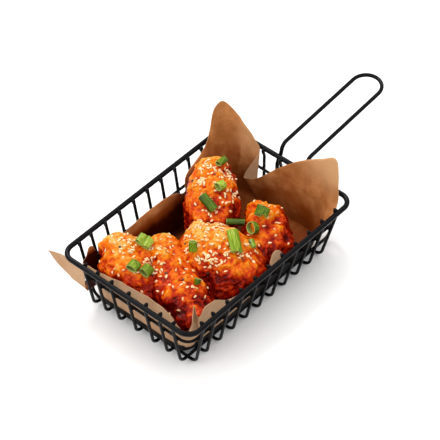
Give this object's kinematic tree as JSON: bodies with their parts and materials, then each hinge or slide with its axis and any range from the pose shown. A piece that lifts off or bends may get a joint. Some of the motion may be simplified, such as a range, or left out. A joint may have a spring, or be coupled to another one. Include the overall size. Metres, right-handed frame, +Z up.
{
  "type": "basket of chicken tenders",
  "caption": "Black wire serving basket with a long loop handle, lined with brown paper and filled with sauced, sesame-topped fried chicken tenders.",
  "frame": {"origin": "on the table, at the middle of the underside of the basket's middle crosswise base wire", "axes": "+X across the basket to its right seen from the front, +Y along it towards the handle, +Z up"},
  "size_m": [0.1733, 0.342, 0.1009],
  "materials": {
    "black_powder_coat": "satin",
    "kraft_paper": "matte, with grease spots",
    "sauced_batter": "glossy sauce over craggy batter",
    "spring_onion_green": "moist satin"
  },
  "bodies": {
    "root": {"rim": "black_powder_coat", "ring": "black_powder_coat", "cross_wire_01": "black_powder_coat", "cross_wire_02": "black_powder_coat", "cross_wire_03": "black_powder_coat", "cross_wire_04": "black_powder_coat", "cross_wire_05": "black_powder_coat", "cross_wire_06": "black_powder_coat", "cross_wire_07": "black_powder_coat", "cross_wire_08": "black_powder_coat", "cross_wire_09": "black_powder_coat", "cross_wire_10": "black_powder_coat", "cross_wire_11": "black_powder_coat", "long_wire_1": "black_powder_coat", "long_wire_2": "black_powder_coat", "long_wire_3": "black_powder_coat", "long_wire_4": "black_powder_coat", "long_wire_5": "black_powder_coat", "long_wire_6": "black_powder_coat", "long_wire_7": "black_powder_coat", "handle": "black_powder_coat", "paper_liner": "kraft_paper", "tender_front": "sauced_batter", "tender_middle": "sauced_batter", "tender_left": "sauced_batter", "tender_right": "sauced_batter", "tender_back": "sauced_batter", "spring_onion_01": "spring_onion_green", "spring_onion_02": "spring_onion_green", "spring_onion_03": "spring_onion_green", "spring_onion_04": "spring_onion_green", "spring_onion_05": "spring_onion_green", "spring_onion_06": "spring_onion_green", "spring_onion_07": "spring_onion_green", "spring_onion_08": "spring_onion_green", "spring_onion_09": "spring_onion_green", "spring_onion_10": "spring_onion_green", "spring_onion_11": "spring_onion_green", "spring_onion_12": "spring_onion_green", "spring_onion_13": "spring_onion_green", "spring_onion_14": "spring_onion_green"}
  },
  "joints": []
}
